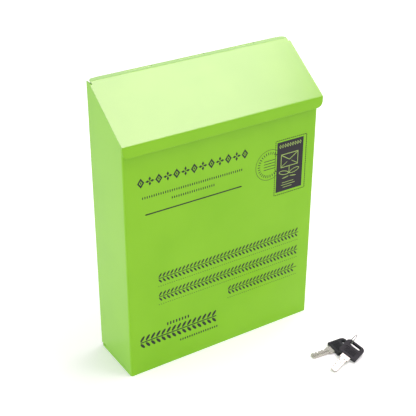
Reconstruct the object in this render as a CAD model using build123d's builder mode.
from build123d import *
from math import cos, sin, radians, sqrt
import os

os.makedirs("parts", exist_ok=True)

# Wall-hung post box of folded steel sheet, with a sloping lid and a lockable bottom door.
# Millimetres. X is to the right seen from the front, Y goes towards the wall, Z is up.
# The origin is the middle of the underside, on the surface that the box can stand on.

# ---- Case ----
case_width = 215.0
case_depth = 63.0
case_height = 294.0
sheet = 0.8
fold_radius = 2.0

# ---- Lid ----
lid_front_height = 252.5
lip_height = 11.2
lip_stand_off = 4.85
lid_overhang = 2.15
ledge_depth = 8.75
lid_bend_radius = 2.0
lip_corner_radius = 6.0
ledge_corner_radius = 5.0
ledge_relief = 3.0
lid_gap = 1.5

# ---- Front wrap ----
hem_depth = 7.0
hem_drop = 3.0
hem_end_gap = 6.0
hem_radius = 1.6
top_cut_height = 20.0
corner_relief = 2.6
corner_return = 9.0
hinge_slot_length = 6.0
hinge_slot_setback = 3.6
hinge_slot_height = 0.9

# ---- Back panel ----
flange_depth = 10.0
flange_bottom = 12.0
flange_top = 278.0
panel_radius = 1.6
screw_spacing = 130.0
screw_height = 262.0
screw_hole_radius = 3.0

# ---- Hinges ----
knuckle_radius = 2.15
rod_clearance = 0.05
hinge_span = 200.0
knuckle_count = 7
knuckle_gap = 0.4

# ---- Bottom door ----
door_rim = 3.0
door_gap = 0.3

# ---- Cam lock ----
lock_y = -6.0
barrel_radius = 9.0
barrel_hole_clearance = 0.1
barrel_length = 24.8
flange_radius = 11.0
flange_thickness = 1.8
flange_chamfer = 0.6
thread_clearance = 0.05
washer_radius = 12.5
washer_thickness = 0.8
nut_across_flats = 24.0
nut_thickness = 4.0
plug_radius = 5.6
plug_head_radius = 7.5
plug_head_thickness = 1.3
plug_recess = 0.2
plug_clearance = 0.05
keyway_width = 2.3
keyway_height = 8.2
keyway_depth = 24.0
wafer_count = 5
wafer_width = 4.6
wafer_height = 8.8
wafer_thickness = 1.0
wafer_window_width = 2.5
wafer_window_height = 6.4
wafer_clearance = 0.1
wafer_start = 5.0
wafer_pitch = 3.6
cam_gap = 0.3
cam_thickness = 2.0
cam_width = 13.0
cam_arm_width = 10.0
cam_tip_radius = 2.0
cam_reach = 22.0
tenon_size = 6.0
tenon_clearance = 0.1
tenon_height = 1.8
stud_radius = 2.5
stud_length = 6.4
cam_washer_radius = 6.0
cam_washer_thickness = 1.0
cam_nut_across_flats = 8.0
cam_nut_thickness = 4.0

# ---- Strike ----
strike_width = 24.0
strike_thickness = 1.2
strike_leg = 13.0
strike_reach = 7.2

# ---- Keys ----
# Where each key lies in front of the box: tip x, tip y, heading, tilt and roll in degrees.
key_lies = ((62.5, -101.9, -6.6, 2.4, 0.0), (66.0, -131.4, 18.0, 7.85, 19.0))
key_tip_width = 4.0
key_tip_chamfer = 1.5
key_floor_gap = 0.02
key_blade_length = 24.5
key_blade_width = 7.0
key_blade_thickness = 1.9
key_shoulder_width = 9.6
key_shoulder_length = 5.5
key_tang_depth = 6.0
key_head_length = 20.0
key_head_width = 21.0
key_head_thickness = 3.2
key_head_near_radius = 1.5
key_head_far_radius = 4.5
key_slot_length = 12.4
key_slot_width = 3.8
key_slot_margin = 2.4
key_edge_chamfer = 0.3
key_panel_depth = 0.4
key_panel_length = 7.5
key_panel_width = 15.0
key_panel_radius = 1.2
key_panel_shift = 0.8
key_rib_count = 4
key_rib_width = 0.7
key_rib_length = 12.0
key_cut_depths = (1.2, 2.0, 0.8, 1.6)
key_cut_start = 4.4
key_cut_pitch = 3.6
key_cut_half_width = 1.5
key_cut_floor = 0.8
key_cut_overshoot = 0.2
key_groove_width = 1.4
key_groove_depth = 0.45
key_groove_side = 1.1
# The wire ring stands through both slots: its middle, and the heading and rise of its axis.
ring_middle = (108.07, -109.66, 7.38)
ring_heading = 123.5
ring_rise = 31.9
ring_radius = 8.0
ring_wire_radius = 0.4

# ---- Places worked out from the sizes above ----
half_width = case_width / 2
front_y = -case_depth / 2
back_y = case_depth / 2
lip_y = front_y - lip_stand_off
ledge_y = back_y - ledge_depth
lid_slope = (case_height - lid_front_height) / (ledge_y - lip_y)
lid_drop = sheet * sqrt(1 + lid_slope**2)
hinge_y = back_y - knuckle_radius
lid_hinge_z = case_height - knuckle_radius
door_hinge_z = knuckle_radius
bore_radius = knuckle_radius - sheet
rod_radius = bore_radius - rod_clearance
knuckle_pitch = hinge_span / knuckle_count
knuckle_length = knuckle_pitch - knuckle_gap
inner_x = half_width - sheet


def wall_top(y):
    """Height of the side wall's top edge at y: a steady gap under the closed lid."""
    return case_height - lid_drop - lid_gap - lid_slope * max(ledge_y - y, 0)


def knuckle_places(first, hinge_z):
    """Centres of every second hinge knuckle, from the one numbered first."""
    middle = (knuckle_count - 1) / 2
    return [
        (knuckle_pitch * (number - middle), hinge_y, hinge_z)
        for number in range(first, knuckle_count, 2)
    ]


def place(x, y, z):
    return Location((x, y, z))


lid_knuckles = knuckle_places(0, lid_hinge_z)
back_top_knuckles = knuckle_places(1, lid_hinge_z)
back_bottom_knuckles = knuckle_places(0, door_hinge_z)
door_knuckles = knuckle_places(1, door_hinge_z)
along_x = (0, 90, 0)

# ================= Case =================

# Front and both sides, folded from one sheet.
hem_z = wall_top(front_y)
with BuildPart() as front_wrap:
    with BuildSketch():
        with BuildLine():
            wrap_line = FilletPolyline(
                (-half_width, back_y),
                (-half_width, front_y),
                (half_width, front_y),
                (half_width, back_y),
                radius=fold_radius,
            )
            offset(wrap_line, amount=sheet, side=Side.LEFT)
        make_face()
    extrude(amount=case_height)
    # Sloping top edges.
    with BuildSketch(Plane.YZ.offset(-case_width)):
        with BuildLine():
            Polyline(
                (front_y - sheet, wall_top(front_y - sheet)),
                (ledge_y, wall_top(ledge_y)),
                (back_y + sheet, wall_top(back_y)),
                (back_y + sheet, case_height + sheet),
                (front_y - sheet, case_height + sheet),
                close=True,
            )
        make_face()
    extrude(amount=2 * case_width, mode=Mode.SUBTRACT)
    # The front wall's hem replaces its top few millimetres.
    hem_width = case_width - 2 * hem_end_gap
    with Locations(place(0, front_y, hem_z - hem_drop)):
        Box(
            hem_width,
            2 * hem_radius,
            top_cut_height,
            align=(Align.CENTER, Align.CENTER, Align.MIN),
            mode=Mode.SUBTRACT,
        )
    with BuildSketch(Plane.YZ.offset(-hem_width / 2)):
        with BuildLine():
            hem_line = FilletPolyline(
                (front_y, hem_z - hem_drop),
                (front_y, hem_z),
                (front_y + hem_depth, hem_z),
                radius=hem_radius,
            )
            offset(hem_line, amount=sheet, side=Side.RIGHT)
        make_face()
    extrude(amount=hem_width)
    # Relief at the top of each front corner fold.
    with Locations(*[place(side * half_width, front_y, hem_z - sheet) for side in (-1, 1)]):
        Box(
            2 * corner_relief,
            2 * corner_relief,
            top_cut_height,
            align=(Align.CENTER, Align.CENTER, Align.MIN),
            mode=Mode.SUBTRACT,
        )
    # The side walls stop above the door's rim, with a longer slot beside its hinge.
    side_cut_length = case_depth - corner_return
    with Locations(place(0, back_y, 0)):
        Box(
            2 * case_width,
            side_cut_length,
            door_rim + door_gap,
            align=(Align.CENTER, Align.MAX, Align.MIN),
            mode=Mode.SUBTRACT,
        )
    with Locations(place(0, back_y - hinge_slot_setback, 0)):
        Box(
            2 * case_width,
            hinge_slot_length,
            door_rim + door_gap + hinge_slot_height,
            align=(Align.CENTER, Align.MAX, Align.MIN),
            mode=Mode.SUBTRACT,
        )

# Back, with a flange inside each side wall, two wall screw holes and the fixed knuckles.
panel_top = lid_hinge_z - knuckle_radius - knuckle_gap
panel_bottom = door_hinge_z + knuckle_radius + knuckle_gap
with BuildPart() as back_panel:
    with BuildSketch(Plane.XY.offset(panel_bottom)):
        with BuildLine():
            panel_line = FilletPolyline(
                (-inner_x, back_y - flange_depth),
                (-inner_x, back_y),
                (inner_x, back_y),
                (inner_x, back_y - flange_depth),
                radius=panel_radius,
            )
            offset(panel_line, amount=sheet, side=Side.RIGHT)
        make_face()
    extrude(amount=panel_top - panel_bottom)
    for bottom, top in ((0, flange_bottom), (flange_top, case_height)):
        with Locations(place(0, back_y - panel_radius, bottom)):
            Box(
                case_width,
                flange_depth,
                top - bottom,
                align=(Align.CENTER, Align.MAX, Align.MIN),
                mode=Mode.SUBTRACT,
            )
    for places, tongue_end in ((back_top_knuckles, panel_top), (back_bottom_knuckles, panel_bottom)):
        hinge_z = places[0][2]
        with Locations(*[place(x, back_y - sheet / 2, (hinge_z + tongue_end) / 2) for x, y, z in places]):
            Box(knuckle_length, sheet, abs(tongue_end - hinge_z))
        with Locations(*places):
            Cylinder(knuckle_radius, knuckle_length, rotation=along_x)
        with Locations(*places):
            Cylinder(bore_radius, knuckle_length, rotation=along_x, mode=Mode.SUBTRACT)
    with BuildSketch(Plane.XZ.offset(-back_y - sheet)):
        with Locations(*[(side * screw_spacing / 2, screw_height) for side in (-1, 1)]):
            Circle(screw_hole_radius)
    extrude(amount=3 * sheet, mode=Mode.SUBTRACT)

# Rods through the knuckles.
with BuildPart() as lid_hinge_rod:
    with Locations(place(0, hinge_y, lid_hinge_z)):
        Cylinder(rod_radius, hinge_span, rotation=along_x)

with BuildPart() as door_hinge_rod:
    with Locations(place(0, hinge_y, door_hinge_z)):
        Cylinder(rod_radius, hinge_span, rotation=along_x)

# ================= Lid =================

# Lip, slope and ledge, folded from one sheet, with the lid's knuckles rolled on its rear edge.
lid_width = case_width + 2 * lid_overhang
with BuildPart() as lid_panel:
    with BuildSketch(Plane.YZ.offset(-lid_width / 2)):
        with BuildLine():
            lid_line = FilletPolyline(
                (lip_y, lid_front_height - lip_height),
                (lip_y, lid_front_height),
                (ledge_y, case_height),
                (hinge_y, case_height),
                radius=lid_bend_radius,
            )
            offset(lid_line, amount=sheet, side=Side.RIGHT)
        make_face()
    extrude(amount=lid_width)
    lip_corners = lid_panel.edges().filter_by(Axis.Y).group_by(Axis.Z)[0]
    fillet(lip_corners, radius=lip_corner_radius)
    # The ledge is only as wide as the case, from just in front of its crease.
    relief_y = ledge_y - ledge_relief
    with Locations(*[place(side * lid_width / 2, relief_y, case_height) for side in (-1, 1)]):
        Box(
            2 * lid_overhang,
            case_depth,
            case_height - lid_front_height,
            align=(Align.CENTER, Align.MIN, Align.CENTER),
            mode=Mode.SUBTRACT,
        )
    ledge_corners = lid_panel.edges().filter_by(Axis.Z).group_by(Axis.Y)[-1]
    fillet(ledge_corners, radius=ledge_corner_radius)
    with Locations(*back_top_knuckles):
        Box(
            knuckle_pitch + knuckle_gap,
            2 * (knuckle_radius + knuckle_gap),
            2 * (knuckle_radius + knuckle_gap),
            mode=Mode.SUBTRACT,
        )
    with Locations(*lid_knuckles):
        Cylinder(knuckle_radius, knuckle_length, rotation=along_x)
    with Locations(*lid_knuckles):
        Cylinder(bore_radius, knuckle_length, rotation=along_x, mode=Mode.SUBTRACT)

# ================= Bottom door =================

# A shallow pan, rim down, that fits inside the front wall and flush under the side walls.
barrel_hole_radius = barrel_radius + barrel_hole_clearance
door_corner_radius = fold_radius - sheet
step_y = front_y + corner_return + door_gap
door_front_y = front_y + sheet + door_gap
door_front_x = inner_x - door_gap
plate_end_y = hinge_y - knuckle_radius - knuckle_gap
plate_z = door_rim - sheet
with BuildPart() as door_panel:
    with BuildSketch() as door_plan:
        with BuildLine():
            Polyline(
                (-half_width, hinge_y),
                (-half_width, step_y),
                (-door_front_x, step_y),
                (-door_front_x, door_front_y),
                (door_front_x, door_front_y),
                (door_front_x, step_y),
                (half_width, step_y),
                (half_width, hinge_y),
                close=True,
            )
        make_face()
        fillet(door_plan.vertices().group_by(Axis.Y)[0], radius=door_corner_radius)
    extrude(amount=door_rim)
    with BuildSketch():
        with BuildLine():
            Polyline(
                (-inner_x, hinge_y),
                (-inner_x, step_y + sheet),
                (-door_front_x + sheet, step_y + sheet),
                (-door_front_x + sheet, door_front_y + sheet),
                (door_front_x - sheet, door_front_y + sheet),
                (door_front_x - sheet, step_y + sheet),
                (inner_x, step_y + sheet),
                (inner_x, hinge_y),
                close=True,
            )
        make_face()
    extrude(amount=plate_z, mode=Mode.SUBTRACT)
    with Locations(place(0, plate_end_y, 0)):
        Box(
            2 * inner_x,
            case_depth,
            door_rim,
            align=(Align.CENTER, Align.MIN, Align.MIN),
            mode=Mode.SUBTRACT,
        )
    with Locations(*[place(x, plate_end_y - sheet, plate_z) for x, y, z in door_knuckles]):
        Box(
            knuckle_length,
            hinge_y - plate_end_y,
            sheet,
            align=(Align.CENTER, Align.MIN, Align.MIN),
        )
    with Locations(*door_knuckles):
        Cylinder(knuckle_radius, knuckle_length, rotation=along_x)
    with Locations(*door_knuckles):
        Cylinder(bore_radius, knuckle_length, rotation=along_x, mode=Mode.SUBTRACT)
    with Locations(place(0, lock_y, plate_z)):
        Cylinder(
            barrel_hole_radius,
            sheet,
            align=(Align.CENTER, Align.CENTER, Align.MIN),
            mode=Mode.SUBTRACT,
        )

# ================= Cam lock =================

standing = (Align.CENTER, Align.CENTER, Align.MIN)
flange_z = plate_z - flange_thickness
barrel_top = plate_z + barrel_length
plug_bore = plug_radius + plug_clearance
with BuildPart() as lock_body:
    with Locations(place(0, lock_y, flange_z)):
        Cylinder(flange_radius, flange_thickness, align=standing)
    chamfer(lock_body.edges().filter_by(GeomType.CIRCLE).group_by(Axis.Z)[0], flange_chamfer)
    with Locations(place(0, lock_y, plate_z)):
        Cylinder(barrel_radius, barrel_length, align=standing)
    with Locations(place(0, lock_y, flange_z)):
        Cylinder(plug_bore, 2 * barrel_length, align=standing, mode=Mode.SUBTRACT)
    with Locations(place(0, lock_y, flange_z)):
        Cylinder(
            plug_head_radius + plug_clearance,
            plug_recess + plug_head_thickness + plug_clearance,
            align=standing,
            mode=Mode.SUBTRACT,
        )

nut_bore = barrel_radius + thread_clearance
with BuildPart() as lock_nut_washer:
    with BuildSketch(Plane.XY.offset(door_rim)):
        with Locations((0, lock_y)):
            Circle(washer_radius)
            Circle(nut_bore, mode=Mode.SUBTRACT)
    extrude(amount=washer_thickness)

with BuildPart() as lock_nut:
    with BuildSketch(Plane.XY.offset(door_rim + washer_thickness)):
        with Locations((0, lock_y)):
            RegularPolygon(nut_across_flats / 2, 6, major_radius=False)
            Circle(nut_bore, mode=Mode.SUBTRACT)
    extrude(amount=nut_thickness)

plug_z = flange_z + plug_recess
cam_z = barrel_top + cam_gap
tenon_top = cam_z + tenon_height
wafer_levels = [plug_z + wafer_start + wafer_pitch * number for number in range(wafer_count)]
slot_height = wafer_thickness + 2 * wafer_clearance
with BuildPart() as lock_plug:
    with Locations(place(0, lock_y, plug_z)):
        Cylinder(plug_head_radius, plug_head_thickness, align=standing)
        Cylinder(plug_radius, cam_z - plug_z, align=standing)
    with Locations(place(0, lock_y, cam_z)):
        Box(tenon_size, tenon_size, tenon_height, align=standing)
    with Locations(place(0, lock_y, tenon_top)):
        Cylinder(stud_radius, stud_length, align=standing)
    with Locations(place(0, lock_y, plug_z)):
        Box(keyway_width, keyway_height, keyway_depth, align=standing, mode=Mode.SUBTRACT)
    with Locations(*[place(0, lock_y, level - wafer_clearance) for level in wafer_levels]):
        Box(
            wafer_width + 2 * wafer_clearance,
            wafer_height + 2 * wafer_clearance,
            slot_height,
            align=standing,
            mode=Mode.SUBTRACT,
        )

# Spring wafers, drawn in as they are when a key is in the plug.
with BuildPart() as lock_wafers:
    for level in wafer_levels:
        with BuildSketch(Plane.XY.offset(level)):
            with Locations((0, lock_y)):
                Rectangle(wafer_width, wafer_height)
                Rectangle(wafer_window_width, wafer_window_height, mode=Mode.SUBTRACT)
        extrude(amount=wafer_thickness)

# The cam points along the door while the lock is open.
with BuildPart() as lock_cam:
    with BuildSketch(Plane.XY.offset(cam_z)):
        with Locations((0, lock_y)):
            Circle(cam_width / 2)
        with Locations((cam_reach / 2, lock_y)):
            RectangleRounded(cam_reach, cam_arm_width, cam_tip_radius)
        with Locations((0, lock_y)):
            Rectangle(
                tenon_size + 2 * tenon_clearance,
                tenon_size + 2 * tenon_clearance,
                mode=Mode.SUBTRACT,
            )
    extrude(amount=cam_thickness)

cam_top = cam_z + cam_thickness
cam_bore = stud_radius + thread_clearance
with BuildPart() as cam_washer:
    with BuildSketch(Plane.XY.offset(cam_top)):
        with Locations((0, lock_y)):
            Circle(cam_washer_radius)
            Circle(cam_bore, mode=Mode.SUBTRACT)
    extrude(amount=cam_washer_thickness)

with BuildPart() as cam_nut:
    with BuildSketch(Plane.XY.offset(cam_top + cam_washer_thickness)):
        with Locations((0, lock_y)):
            RegularPolygon(cam_nut_across_flats / 2, 6, major_radius=False)
            Circle(cam_bore, mode=Mode.SUBTRACT)
    extrude(amount=cam_nut_thickness)

# Angle bracket on the front wall's inner face, which the turned cam rests on.
strike_top = cam_z - cam_gap
strike_wall_y = front_y + sheet
with BuildPart() as lock_strike:
    with BuildSketch(Plane.YZ.offset(-strike_width / 2)):
        with BuildLine():
            Polyline(
                (strike_wall_y, strike_top - strike_thickness - strike_leg),
                (strike_wall_y, strike_top),
                (strike_wall_y + strike_reach, strike_top),
                (strike_wall_y + strike_reach, strike_top - strike_thickness),
                (strike_wall_y + strike_thickness, strike_top - strike_thickness),
                (strike_wall_y + strike_thickness, strike_top - strike_thickness - strike_leg),
                close=True,
            )
        make_face()
    extrude(amount=strike_width)

# ================= Keys =================


def direction(heading, rise):
    """Unit vector at a heading about Z, raised above the level by rise, both in degrees."""
    level = cos(radians(rise))
    return Vector(cos(radians(heading)) * level, sin(radians(heading)) * level, sin(radians(rise)))


def key_plane(tip_x, tip_y, heading, tilt, roll):
    """Middle plane of a key: X from its tip to its head, Z out of its upper side."""
    along = direction(heading, tilt)
    across = direction(heading + 90, 0)
    up = along.cross(across)
    up = up * cos(radians(roll)) - across * sin(radians(roll))
    tip_drop = key_tip_width / 2 * sin(radians(roll))
    edge_drop = key_blade_width / 2 * sin(radians(roll)) - key_tip_chamfer * sin(radians(tilt))
    height = key_blade_thickness / 2 * up.Z + max(tip_drop, edge_drop) + key_floor_gap
    return Plane(origin=(tip_x, tip_y, height), x_dir=along, z_dir=up)


key_shoulder_x = key_blade_length - key_shoulder_length
key_tang_end = key_blade_length + key_tang_depth
key_length = key_blade_length + key_head_length
key_slot_x = key_length - key_slot_margin - key_slot_width / 2
key_grip_length = key_head_length - 2 * key_slot_margin - key_slot_width
key_panel_x = key_blade_length + key_grip_length / 2 + key_panel_shift
keys = []
for number, lie in enumerate(key_lies, start=1):
    plane = key_plane(*lie)
    half_blade = key_blade_width / 2
    with BuildPart() as key_blade:
        with BuildSketch(plane):
            with BuildLine():
                Polyline(
                    (key_tip_chamfer, half_blade),
                    (0, key_tip_width / 2),
                    (0, -key_tip_width / 2),
                    (key_tip_chamfer, -half_blade),
                    (key_shoulder_x, -half_blade),
                    (key_shoulder_x, -key_shoulder_width / 2),
                    (key_tang_end, -key_shoulder_width / 2),
                    (key_tang_end, key_shoulder_width / 2),
                    (key_shoulder_x, key_shoulder_width / 2),
                    (key_shoulder_x, half_blade),
                    close=True,
                )
            make_face()
            # The cuts that lift the wafers.
            for step, depth in enumerate(key_cut_depths):
                cut_x = key_cut_start + key_cut_pitch * step
                with BuildLine():
                    Polyline(
                        (cut_x - key_cut_half_width, half_blade + key_cut_overshoot),
                        (cut_x - key_cut_floor / 2, half_blade - depth),
                        (cut_x + key_cut_floor / 2, half_blade - depth),
                        (cut_x + key_cut_half_width, half_blade + key_cut_overshoot),
                        close=True,
                    )
                make_face(mode=Mode.SUBTRACT)
        extrude(amount=key_blade_thickness / 2, both=True)
        # A groove is milled along each side.
        for side in (-1, 1):
            level = side * (key_blade_thickness / 2 - key_groove_depth)
            with BuildSketch(plane.offset(level)):
                with Locations((key_shoulder_x / 2, -side * key_groove_side)):
                    Rectangle(key_shoulder_x, key_groove_width)
            extrude(amount=side * key_blade_thickness, mode=Mode.SUBTRACT)
    with BuildPart() as key_head:
        with BuildSketch(plane) as head_outline:
            with Locations((key_blade_length, 0)):
                Rectangle(key_head_length, key_head_width, align=(Align.MIN, Align.CENTER))
            fillet(head_outline.vertices().group_by(Axis.X)[0], radius=key_head_near_radius)
            fillet(head_outline.vertices().group_by(Axis.X)[-1], radius=key_head_far_radius)
            with Locations((key_slot_x, 0)):
                SlotOverall(key_slot_length, key_slot_width, rotation=90, mode=Mode.SUBTRACT)
        extrude(amount=key_head_thickness / 2, both=True)
        chamfer(key_head.faces().filter_by(plane).edges(), length=key_edge_chamfer)
        # A sunk grip panel with ribs on each side.
        rib_pitch = key_panel_length / (key_rib_count + 1)
        for side in (-1, 1):
            with BuildSketch(plane.offset(side * (key_head_thickness / 2 - key_panel_depth))):
                with Locations((key_panel_x, 0)):
                    RectangleRounded(key_panel_length, key_panel_width, key_panel_radius)
                rib_places = [
                    (key_panel_x + rib_pitch * (rib - (key_rib_count - 1) / 2), 0)
                    for rib in range(key_rib_count)
                ]
                with Locations(*rib_places):
                    Rectangle(key_rib_width, key_rib_length, mode=Mode.SUBTRACT)
            extrude(amount=side * key_head_thickness, mode=Mode.SUBTRACT)
        # The blade's tang is moulded in.
        with BuildSketch(plane):
            with Locations((key_blade_length, 0)):
                Rectangle(key_tang_depth, key_shoulder_width, align=(Align.MIN, Align.CENTER))
        extrude(amount=key_blade_thickness / 2, both=True, mode=Mode.SUBTRACT)
    keys += [(key_blade, f"key_{number}_blade"), (key_head, f"key_{number}_head")]

ring_plane = Plane(
    origin=ring_middle,
    x_dir=direction(ring_heading + 90, 0),
    z_dir=direction(ring_heading, ring_rise),
)
with BuildPart() as key_ring:
    with BuildSketch(Plane(ring_middle, x_dir=ring_plane.x_dir, z_dir=ring_plane.y_dir)):
        with Locations((ring_radius, 0)):
            Circle(ring_wire_radius)
    revolve(axis=Axis(ring_middle, ring_plane.z_dir), revolution_arc=360)


def save(part, name):
    part.label = name
    export_step(part, f"parts/{name}.step")


for piece, name in (
    (front_wrap, "front_wrap"),
    (back_panel, "back_panel"),
    (lid_hinge_rod, "lid_hinge_rod"),
    (door_hinge_rod, "door_hinge_rod"),
    (lock_strike, "lock_strike"),
    (lid_panel, "lid_panel"),
    (door_panel, "door_panel"),
    (lock_body, "lock_body"),
    (lock_nut_washer, "lock_nut_washer"),
    (lock_nut, "lock_nut"),
    (lock_plug, "lock_plug"),
    (lock_wafers, "lock_wafers"),
    (lock_cam, "lock_cam"),
    (cam_washer, "cam_washer"),
    (cam_nut, "cam_nut"),
    (key_ring, "key_ring"),
    *keys,
):
    save(piece.part, name)
